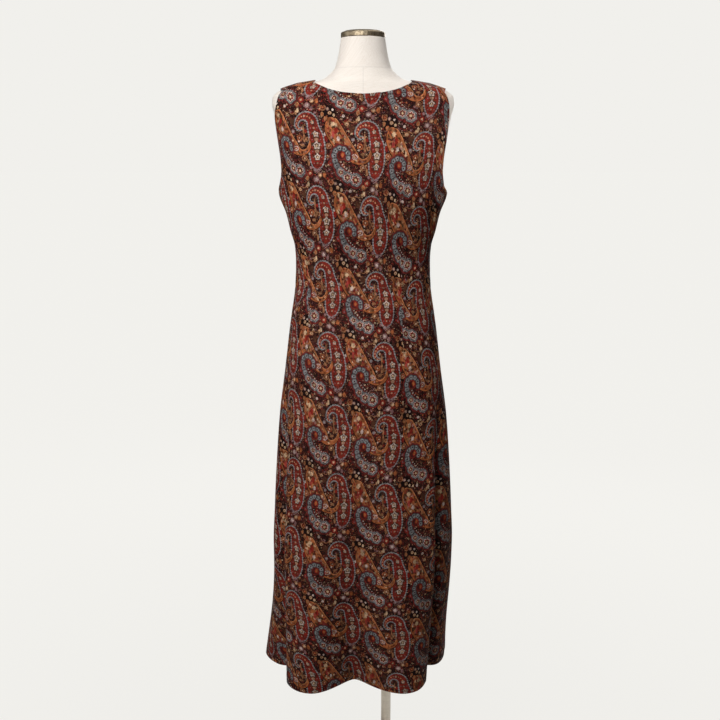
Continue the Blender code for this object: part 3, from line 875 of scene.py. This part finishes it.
def paisley_print(tree, u, v):
    """The print's colour at a place on the flat cloth, u to the right and v up, in millimetres."""

    def repeat(x, y):
        """Place right of and above the top of the nearest red curl, in the repeat round a spot."""
        across = u - (x + LEAN * y)
        near = wrapped(across, COLUMN_STEP)
        steps = (across - near) * (1 / COLUMN_STEP)
        up = wrapped(v - y + steps * COLUMN_DROP, ROW_REPEAT)
        return near + up * -LEAN + x, up + y

    def spot(place, x, y, across, up):
        """Distance from a spot, 1 at the edge of an ellipse round it."""
        inputs = {0: place, 1: (1 / across, 1 / up, 0), 2: (-x / across, -y / up, 0)}
        node = added(tree, "VectorMath", inputs, operation="MULTIPLY_ADD")
        node = added(tree, "VectorMath", {0: node.outputs[0]}, operation="LENGTH")
        return Number(tree, node.outputs["Value"])

    def flower(x, y, petals, depth):
        """Distance from a flower's middle, shorter along its petals."""
        away, angle = polar(x, y)
        return away * ((angle * petals).math("COSINE") * -depth + (1 + depth))

    def lay(share, hue):
        """Lays a hue over the colour where share is 1."""
        nonlocal colour
        colour = mix(share, colour, hue)

    def lay_bands(near, bands, within=None):
        """Lays each band's hue where near is below its limit and within is 1."""
        for limit, hue in bands:
            share = near < limit
            lay(share if within is None else share & within, hue)

    def lay_ornaments(place, rows):
        for *where, bands in rows:
            lay_bands(spot(place, *where) + wobble, bands)

    def lay_scattered(step, seed, edge, hues):
        """Lays small flowers and curls, each in one hue."""
        inputs = {0: place, 1: (1 / step, 1 / step, 0), 2: (seed, seed * 0.7, 0)}
        scaled = added(tree, "VectorMath", inputs, operation="MULTIPLY_ADD").outputs[0]
        away, random, middle = cells(tree, scaled)
        hue, size, kind = parts(tree, random)
        radius = (size * 0.6 + 0.4) * edge
        offset = added(tree, "VectorMath", {0: scaled, 1: middle}, operation="SUBTRACT").outputs[0]
        x, y, _ = parts(tree, offset)
        angle = angle_of(x, y)
        bloom = away * ((angle * 4 + kind * 9).math("COSINE") * 0.30 + 1.0) < radius
        curl = (abs(away - radius) < radius * 0.30) & ((angle + kind * 40).math("COSINE") > -0.55)
        lay(either(kind > CURLS_FROM, bloom, curl), ramp(hue, hues))

    place = joined(u, v)
    blot = noise(tree, place, 0.13, 3.0, 0.62)
    fine = noise(tree, place, 0.42, 2.0, 0.6)
    wobble = (fine - 0.5) * 1.1
    _, random, _ = cells(tree, joined(u * 0.25 + fine * 1.2, v * 0.22 - fine * 1.2))
    patch, grain, _ = parts(tree, random)

    # Ground: dark brown with scrolls, then scattered small flowers and dots
    colour = ramp(blot, ((0.38, DARK), (0.50, GROUND), (0.58, UMBER), (0.68, BROWN)), "LINEAR")
    lay((abs(wrapped(blot, 0.09)) < 0.008) & (fine > 0.48), DUSK)
    for filler in FILLERS:
        lay_scattered(*filler)

    # Red paisley: an upright drop whose top curls over, edged with pearls
    level = -24.3  # of the middles of its curl and of the curl's tip
    curl_half, tip_half = 18, 8  # their radii
    curl_from, tip_from = 93.7, 150.2  # where they start along the middle line
    x, y = repeat(8, -60)
    curl_r, curl_a = polar(x - 0.9, y - level)
    tip_r, tip_a = polar((x + 9.1) * -1, (y - level) * -1)
    tail = mapped(y, -58, -118)
    middle = mapped(y, level, -50.0, 19.6, 25.2, "SMOOTHSTEP") - tail * tail * 5.6
    on_curl = y > level
    on_tip = (y < level) & (x < -2)
    past_body = either(on_curl, y + 118, curl_a * curl_half + curl_from)
    along = either(on_tip, past_body, tip_a * tip_half + tip_from)
    past_body = either(on_curl, y + 118, curl_a * curl_r + curl_from)
    beads = either(on_tip, past_body, tip_a * tip_r + tip_from)
    off = either(on_tip, either(on_curl, x - middle, curl_r - curl_half), tip_r - tip_half)
    half = curved(along, DROP_OUTLINE, 170)
    edge = abs(off) - half
    lay(edge < 2.4, DARK)
    lay(abs(edge) < 0.9, BLUE)
    pearl = hypot(wrapped(beads, PEARL_STEP) * 0.85, edge - 0.1)
    lay(pearl < 2.0, PALE_BLUE)
    lay(edge < -1.6, RED)
    lay((edge < -3.0) & (fine > 0.52), RUST)
    size = curved(along, DROP_FLOWERS, 170)
    near = flower(wrapped(along - 50, FLOWER_STEP), off * 1.05, 5, 0.22) + wobble * 4
    rings = ((size * 1.40, MOSS), (size * 1.02, WHITE), (size * 0.60, OLIVE), (size * 0.36, CREAM))
    lay_bands(near, rings, edge < -3.4)
    near = hypot(wrapped(along - 38, FLOWER_STEP), off * 0.8) + wobble * 2
    lay(near < size * 0.42, SAND)
    near = hypot(wrapped(along - 38, FLOWER_STEP / 2), abs(off) - half * 0.55)
    lay((near < 1.3) & (along < 96), LILAC)
    dots = hypot(wrapped(along, 6.4), off)
    lay((dots < 1.6) & (along > 96), APRICOT)

    # Orange leaf: broad and mottled, its stalk hooking up over the red paisley's edge
    x, y = repeat(-34, -40)
    leaf_place = joined(x, y)
    lay_ornaments(leaf_place, LEAF_ORNAMENTS)
    vine = abs(y - 0.6 + (x * 0.42).math("SINE") * 1.4)
    lay((vine < 0.8) & (abs(x + 31) < 15), TAN)
    hook_from, hook_half = 88, 21  # where its stalk's hook starts along the middle line, and its radius
    straight = (x + 72.2) * 0.5 - (y - 6.7) * 0.866
    hook_r, hook_a = polar(x + 10, y + 59)
    hooked = wrapped(hook_a + math.radians(150 - 75), 2 * math.pi) + math.radians(75)
    on_hook = straight > hook_from
    along = either(on_hook, straight, hooked * hook_half + hook_from) + 4
    off = either(on_hook, (x + 72.2) * 0.866 + (y - 6.7) * 0.5, hook_half - hook_r)
    inner, outer = (curved(along, outline, 150) for outline in (LEAF_INNER, LEAF_OUTER))
    edge = either(off > 0, off * -1 - outer, off - inner)
    lay_bands(edge, ((2.0, DARK), (0.6, ramp(patch, LEAF_PATCHES))))
    lay((edge < 0.6) & (edge > -2.6), ORANGE)
    lay((edge < 0.9) & (edge > -0.7) & (off > 0), AMBER)
    cup = spot(leaf_place, -24, -71, 9.0, 6.5) + wobble
    rings = ((1.0, DEEP_RED), (0.80, WHITE), (0.52, RED), (0.25, CREAM))
    lay_bands(cup, rings, edge < -1.5)
    for *where, hue in LEAF_SPOTS:
        lay(spot(leaf_place, *where) + wobble * 1.6 < 0.9, hue)

    # Blue-grey paisley: a scalloped ribbon that curls over, and three blossoms at its head
    x, y = repeat(-35, -100)
    head_place = joined(x, y)
    lay_ornaments(head_place, HEAD_ORNAMENTS)
    ray = (x - 17) * 0.54 - (y + 124) * 0.84
    rays = (abs(wrapped(ray, 5.0)) < 1.0) & (abs(ray) < 5.5) & (spot(head_place, 24, -119, 11, 8) < 1)
    lay(rays, LILAC)
    level = -68  # of the middles of its ring and of the bow that runs down from it
    ring_half, bow_half = 15, 50  # their radii
    bow_from = 47.1  # where the bow starts along the middle line
    ring_r, ring_a = polar(x + 52, y - level)
    bow_r, bow_a = polar((x + 17) * -1, (y - level) * -1)
    on_ring = (y > level) | ((x > -47) & (y > -82) & (ring_r < 26))
    along = either(on_ring, bow_a * bow_half + bow_from, ring_a * ring_half)
    off = either(on_ring, bow_r - bow_half, ring_r - ring_half)
    half = curved(along + 10, RIBBON_OUTLINE, 150)
    lobes = ((along - 5.2) * (math.pi / LOBE_STEP)).math("COSINE")
    edge = abs(off) - half - abs(lobes) * 1.9 + 1.3
    blossoms = [
        (spot(head_place, bx, by, size, size), angle_of(x - bx, y - by) * petals, size)
        for bx, by, size, petals in HEAD_BLOSSOMS
    ]
    reach = edge
    for near, _, size in blossoms:
        reach = reach & ((near - 1) * size)
    reach = reach + wobble * 1.4
    lay_bands(reach, ((either(off > 0, 3.0, 4.6), MAROON), (1.4, DARK)))
    bead = hypot(wrapped(along, 8.0), edge - 6.0)
    lay((bead < 1.5) & (off < 0) & (along > 50) & (along < 120), WHITE)
    lay_bands(reach, ((0.7, BLUE), (-1.3, PALE_BLUE), (-2.2, BLUE)))
    step = wrapped(along - 5.2, LOBE_STEP)
    ribbon = (along < 88) & (along > -12) & (reach < 0.7)
    lay((ribbon & (abs(step) > 4.3 + wobble * 1.5)) * 0.6, INK)
    blob = hypot(step, off) + wobble * 2.5
    lay_bands(blob, ((3.3, PALE_BLUE), (1.7, SLATE)), ribbon)
    for near, turn, size in blossoms:
        petals = near * (turn.math("COSINE") * 0.17 + 1.0) + wobble * 0.3
        lay_bands(petals, BLOSSOM)
    inside = (y > -86) & (reach > 0.7)
    lay_bands(ring_r, ((9.6, WINE), (7.6, DARK_WINE)), inside)
    near = spot(head_place, -49, -66.5, 4.4, 6.4) + wobble
    lay_bands(near, ((1.0, RED), (0.62, ORANGE)))

    # The screens' fine grain: each small patch printed a little darker or lighter
    return scaled_colour(colour, mapped(grain, 0.0, 1.0, 0.42, 1.18))


# ---------------- materials
MILLIMETRES = 1000.0  # in a metre: cloth places are in metres, and the print's sizes in millimetres
PRINT_THREAD = 0.42  # from thread to thread, in millimetres
LINEN_THREAD = 0.75
STITCH_STEP = 3.0  # from stitch to stitch, and half a stitch's length and width
STITCH_REACH = 1.05
STITCH_HALF = 0.32
STITCH_COLOUR = (0.13, 0.06, 0.038)
REVERSE_COLOUR = (0.105, 0.055, 0.045)
REVERSE_SHARE = 0.55  # how much of the reverse's colour hides the print there
RING_STEP = {"brass": 2600, "steel": 900}  # turned rings: noise per metre away from the axis
LINEN_TONES = ((0.34, (0.635, 0.562, 0.484)), (0.5, (0.765, 0.71, 0.655)), (0.66, (0.835, 0.798, 0.757)))
BRASS_TONES = ((0.36, (0.108, 0.078, 0.047)), (0.5, (0.29, 0.236, 0.162)), (0.62, (0.395, 0.338, 0.245)))
STEEL_TONES = ((0.36, (0.4, 0.355, 0.297)), (0.5, (0.52, 0.467, 0.398)), (0.64, (0.6, 0.55, 0.48)))


def material(name, **values):
    """A material with a Principled shader, whose inputs take the values: name_of_input=value."""
    made = bpy.data.materials.new(name)
    made.use_nodes = True
    shader = made.node_tree.nodes["Principled BSDF"]
    for key, value in values.items():
        shader.inputs[key.replace("_", " ").title().replace("Ior", "IOR")].default_value = value
    return made, made.node_tree, shader


def cloth_place(tree, layer):
    """Place on the cloth in millimetres, across and up, from a UV layer in metres."""
    across, up, _ = parts(tree, added(tree, "UVMap", {}, uv_map=layer).outputs[0])
    return across * MILLIMETRES, up * MILLIMETRES


def object_place(tree):
    """Place in the object's own frame, in metres."""
    return parts(tree, added(tree, "TexCoord", {}).outputs["Object"])


def surfaced(tree, shader, colour, roughness, height, distance):
    """Gives a shader its colour, roughness and raised surface, height 1 being the distance in metres."""
    put(tree, shader.inputs["Base Color"], colour)
    put(tree, shader.inputs["Roughness"], roughness)
    bump = added(tree, "Bump", {"Strength": 1.0, "Distance": distance, "Height": height})
    put(tree, shader.inputs["Normal"], bump.outputs[0])


def plain_weave(u, v, pitch):
    """Height of a plain weave's threads, 0 to 1, with a thread every pitch millimetres."""
    across, up = u * (math.pi / pitch), v * (math.pi / pitch)
    over = across.math("SINE") * up.math("SINE")
    warp = abs(across.math("COSINE")) * (over * 0.5 + 0.5)
    weft = abs(up.math("COSINE")) * (over * -0.5 + 0.5)
    return warp | weft


def printed_cloth():
    """Fine plain weave with the paisley print, its stitched edges, and a duller reverse."""
    made, tree, shader = material("paisley_print_cloth", specular_ior_level=0.07)
    u, v = cloth_place(tree, "print")
    along, beside = cloth_place(tree, "sewing")
    colour = paisley_print(tree, u, v)
    place = joined(u, v)
    weave = plain_weave(u, v, PRINT_THREAD)
    worn = noise(tree, place, 0.008, 3.0, 0.55)
    slub = noise(tree, joined(u * 0.12, v * 2.2), 1.0)
    colour = scaled_colour(colour, worn * 0.30 + weave * 0.16 + slub * 0.14 + 0.70)
    stitch = (abs(beside) < STITCH_HALF) & (abs(wrapped(along, STITCH_STEP)) < STITCH_REACH)
    colour = mix(stitch * 0.8, colour, STITCH_COLOUR)
    reverse = Number(tree, added(tree, "Attribute", {}, attribute_name="inside").outputs["Fac"])
    colour = mix(reverse * REVERSE_SHARE, colour, REVERSE_COLOUR)
    soft = noise(tree, place, 0.030)
    sunk = (abs(beside) < 0.7) * -0.12 + stitch * 0.12
    height = weave * 0.05 + slub * 0.03 + soft * 0.9 + sunk
    surfaced(tree, shader, colour, worn * 0.16 + slub * 0.10 + 0.64, height, 0.0016)
    return made


def linen():
    """Natural linen: uneven threads in a plain weave, and a faint shade along the neck and centre seams."""
    made, tree, shader = material("natural_linen", sheen_weight=0.15, sheen_roughness=0.5)
    u, v = cloth_place(tree, "cloth")
    x, y, z = object_place(tree)
    place = joined(u, v)
    wander = noise(tree, place, 0.05) * 1.6
    weave = plain_weave(u + wander, v + wander, LINEN_THREAD)
    across = noise(tree, joined(u * 0.05, v * 1.3), 1.0, 3.0, 0.6)
    upright = noise(tree, joined(u * 1.3, v * 0.05, 7.0), 1.0, 3.0, 0.6)
    mottle = noise(tree, place, 0.012, 3.0, 0.55)
    threads = across * 0.5 + upright * 0.5
    near_seam = abs(z - NECK_SEAM) & (abs(x) | (z - NECK_SEAM))
    shade = mapped(near_seam * MILLIMETRES, 0.4, 1.8, 0.92, 1.0, "SMOOTHSTEP")
    colour = scaled_colour(
        ramp(threads, LINEN_TONES, "LINEAR"), (mottle * 0.10 + weave * 0.12 + 0.86) * shade
    )
    surfaced(tree, shader, colour, threads * 0.20 + 0.72, weave * 0.5 + threads * 0.6, 0.00035)
    return made


def brass():
    """Antique brass: turned, with bright and dark patches."""
    made, tree, shader = material("antique_brass", metallic=1.0)
    x, y, z = object_place(tree)
    cap_middle = (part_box("form_neck_cap")[0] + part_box("form_neck_cap")[1]) / 2
    from_axis = hypot(x - cap_middle.x, y - cap_middle.y)
    rings = joined(from_axis * RING_STEP["brass"], z * RING_STEP["brass"])
    turned = noise(tree, rings, 1.0, 2.0, 0.6)
    patches = noise(tree, joined(x, y, z), 55.0, 4.0, 0.62)
    speckle = noise(tree, joined(x, y, z), 420.0, 2.0, 0.6)
    colour = ramp(patches * 0.7 + speckle * 0.3, BRASS_TONES, "LINEAR")
    colour = scaled_colour(colour, turned * 0.16 + 0.92)
    roughness = patches * -0.25 + turned * 0.14 + 0.56
    surfaced(tree, shader, colour, roughness, turned * 0.4 + patches * 0.6, 0.00012)
    return made


def brushed_steel():
    """Satin grey-beige steel, brushed round its axis, with faint scuffs."""
    made, tree, shader = material("satin_steel", metallic=1.0)
    x, y, z = object_place(tree)
    from_pole = hypot(x - POLE_X, y)
    rings = joined(from_pole * RING_STEP["steel"], z * RING_STEP["steel"])
    brushed = noise(tree, rings, 1.0, 3.0, 0.65)
    scuffs = noise(tree, joined(x, y, z), 38.0, 5.0, 0.65)
    colour = ramp(brushed * 0.5 + scuffs * 0.5, STEEL_TONES, "LINEAR")
    roughness = scuffs * 0.26 + brushed * 0.16 + 0.20
    surfaced(tree, shader, colour, roughness, brushed * 0.7 + scuffs * 0.3, 0.00008)
    return made


# ---------------- the pieces
# Of each panel laid flat, from seam to seam and from the neck's end of the shoulder to the hem, with
# what its darts take in: widest, longest, area
CUT_SIZES = {
    "back": (0.807, 1.335, 0.722),
    "front": (0.774, 1.335, 0.684),
}
cloth = printed_cloth()
for side, shift in (("back", -SEAM_GAP / 2), ("front", SEAM_GAP / 2)):
    points, print_at, jumps, sewing_at, full = made_panel(side)
    panel = shell(f"dress_{side}_cloth", points, full, shift, print_at, jumps, sewing_at, cloth)
    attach(panel, "root")
    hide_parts(f"dress_{side}")
    width, length, area = CUT_SIZES[side]

cover = form_cover(linen())
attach(cover, "root")
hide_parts("form_torso")

steel = brushed_steel()
node_finishes = {"form_neck_cap": brass(), "stand_pole": steel, "stand_collar": steel, "stand_base": steel}
for node, finish in node_finishes.items():
    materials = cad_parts[node].data.materials
    materials.clear()
    materials.append(finish)

# ---------------- camera, floor and light
BACKGROUND = (0.88, 0.871, 0.838)
SKY_ABOVE = 0.37  # light from straight above and from straight below, as shares of the
SKY_BELOW = 0.03  # background's brightness
SKY_DARK_BELOW = -0.1  # how far below the level, of 1, the sky is at its darkest
SKY_TINT = (1, 0.955, 0.91)
SOFTBOXES = (
    # where it stands, where it points, width, height, watts, spread in degrees, colour
    ((-0.6, -1.42, 2.15), (0, 0, 1.52), 1, 0.9, 31, 180, (1, 0.985, 0.965)),
    ((0.8, 0.05, 3.05), (0, 0, 1.6), 0.9, 0.9, 10, 180, (1, 0.99, 0.97)),
    ((1.3, -0.2, 1.7), (0.19, 0, 1.5), 0.15, 0.15, 0.07, 12, (1, 0.99, 0.97)),
    ((-1.6, -0.25, 1.9), (0, 0, 1.2), 0.9, 0.9, 5, 180, (1, 0.99, 0.97)),
    ((0.55, 2.05, 1.95), (0, 0, 1.2), 1.3, 1.3, 40, 180, (1, 0.985, 0.965)),
)
FLOOR_HALF = 60.0
FLOOR_SHADE = 0.06  # share of the floor's brightness that light and shadow make near the stand,
FLOOR_SHADE_RADIUS = 2.5  # fading out over this distance
FLOOR_LIT = 1.8  # how far round the stand the floor is bright enough to show in its metal
FLOOR_FAR = 0.992  # the floor's brightness where it meets the background, as a share of it
FLOOR_PAINT = 0.04  # its own colour, as a share of the background's

scene = bpy.context.scene
scene.view_settings.view_transform = "Standard"

camera_data = bpy.data.cameras.new("camera")
camera_data.lens = 50
camera_data.sensor_width = 36
camera_data.clip_end = 200
scene.camera = placed("camera", camera_data, (-0.0066, -2.2, 1.48), (math.radians(78), 0, 0))


def studio_sky():
    """Soft light that is stronger from above, with an even pale background behind the object."""
    world = bpy.data.worlds.new("studio")
    world.use_nodes = True
    tree = world.node_tree
    seen = tree.nodes["Background"]
    seen.inputs["Color"].default_value = (*BACKGROUND, 1)
    upward = parts(tree, added(tree, "TexCoord", {}).outputs["Generated"])[2]
    strength = mapped(upward, SKY_DARK_BELOW, 1.0, SKY_BELOW, SKY_ABOVE)
    lit = added(tree, "Background", {"Color": (*SKY_TINT, 1), "Strength": strength})
    ray = added(tree, "LightPath", {})
    shaders = {0: ray.outputs["Is Camera Ray"], 1: lit.outputs[0], 2: seen.outputs[0]}
    put(tree, tree.nodes["World Output"].inputs[0], added(tree, "MixShader", shaders).outputs[0])
    return world


scene.world = studio_sky()

for number, (where, target, width, height, watts, spread, tint) in enumerate(SOFTBOXES, 1):
    softbox = bpy.data.lights.new(f"softbox_{number}", "AREA")
    softbox.shape = "RECTANGLE"
    softbox.size, softbox.size_y = width, height
    softbox.energy = watts
    softbox.spread = math.radians(spread)
    softbox.color = tint
    facing = (Vector(where) - Vector(target)).to_track_quat("Z", "Y").to_euler()
    placed(softbox.name, softbox, where, facing).visible_camera = False

floor_finish, floor_tree, floor_shader = material("floor_paper", roughness=0.9, specular_ior_level=0.0)
floor_shader.inputs["Base Color"].default_value = (*(FLOOR_PAINT * share for share in BACKGROUND), 1)
floor_shader.inputs["Emission Color"].default_value = (*BACKGROUND, 1)
ray = added(floor_tree, "LightPath", {})
floor_x, floor_y, _ = object_place(floor_tree)
from_stand = hypot(floor_x, floor_y)
mirrored = Number(floor_tree, ray.outputs["Is Glossy Ray"]) * (from_stand < FLOOR_LIT)
shade = mapped(from_stand, 0.0, FLOOR_SHADE_RADIUS, 1 - FLOOR_SHADE, FLOOR_FAR, "SMOOTHSTEP")
glow = (Number(floor_tree, ray.outputs["Is Camera Ray"]) | mirrored) * shade
put(floor_tree, floor_shader.inputs["Emission Strength"], glow)
floor_mesh = bpy.data.meshes.new("floor")
corners = [(x * FLOOR_HALF, y * FLOOR_HALF, 0) for x, y in ((-1, -1), (1, -1), (1, 1), (-1, 1))]
floor_mesh.from_pydata(corners, [], [(0, 1, 2, 3)])
floor_mesh.materials.append(floor_finish)
placed("floor", floor_mesh)
